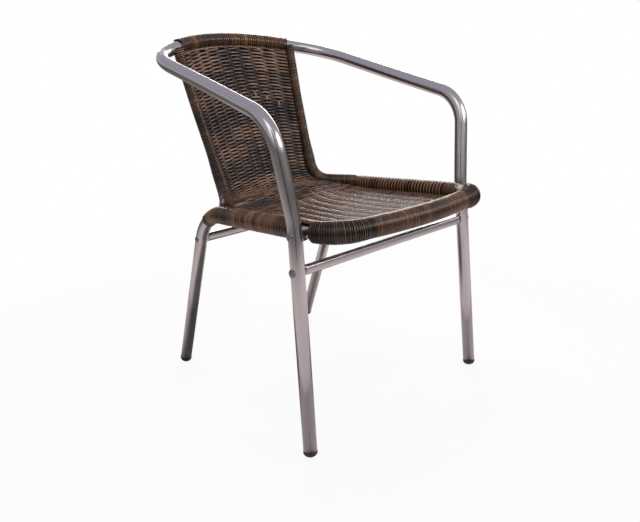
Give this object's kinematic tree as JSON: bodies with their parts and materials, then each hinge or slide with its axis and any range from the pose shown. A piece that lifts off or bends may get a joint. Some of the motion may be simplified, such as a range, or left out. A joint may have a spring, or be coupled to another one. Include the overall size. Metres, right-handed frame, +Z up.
{
  "type": "stacking bistro armchair",
  "caption": "Stacking outdoor armchair with bent tube frames, a curved back tube that runs on into the arms and front legs, and a woven seat and back with bound rims.",
  "frame": {"origin": "on the floor, at the middle of the chair's footprint box", "axes": "+Z up; -Y the way the sitter faces; +X to the sitter's left"},
  "size_m": [0.5101, 0.607, 0.7394],
  "materials": {
    "aluminium": "polished tube with fine draw lines and handling marks",
    "steel": "plated fastener steel",
    "black_plastic": "moulded, matt",
    "wicker": "glossy polyethylene strand in mixed dark and golden browns",
    "wicker_binding": "glossy polyethylene strand in mixed dark browns"
  },
  "bodies": {
    "root": {"arm_frame": "aluminium", "seat_frame": "aluminium", "back_rail_left": "aluminium", "back_rail_right": "aluminium", "front_stretcher": "aluminium", "rear_stretcher": "aluminium", "front_stretcher_insert_left": "black_plastic", "front_stretcher_insert_right": "black_plastic", "rear_stretcher_insert_left": "black_plastic", "rear_stretcher_insert_right": "black_plastic", "seat_bolt_left": "steel", "seat_bolt_right": "steel", "front_stretcher_bolt_left": "steel", "front_stretcher_bolt_right": "steel", "rear_stretcher_bolt_left": "steel", "rear_stretcher_bolt_right": "steel", "seat_spacer_left": "black_plastic", "seat_spacer_right": "black_plastic", "seat_insert_left": "steel", "seat_insert_right": "steel", "front_foot_plug_left": "black_plastic", "front_foot_plug_right": "black_plastic", "rear_foot_plug_left": "black_plastic", "rear_foot_plug_right": "black_plastic", "side_rim_left": "wicker_binding", "side_rim_right": "wicker_binding", "front_rim": "wicker_binding", "back_rim_left": "wicker_binding", "back_rim_right": "wicker_binding", "back_weave": "wicker", "seat_weave": "wicker", "top_winding": "wicker_binding"}
  },
  "joints": []
}
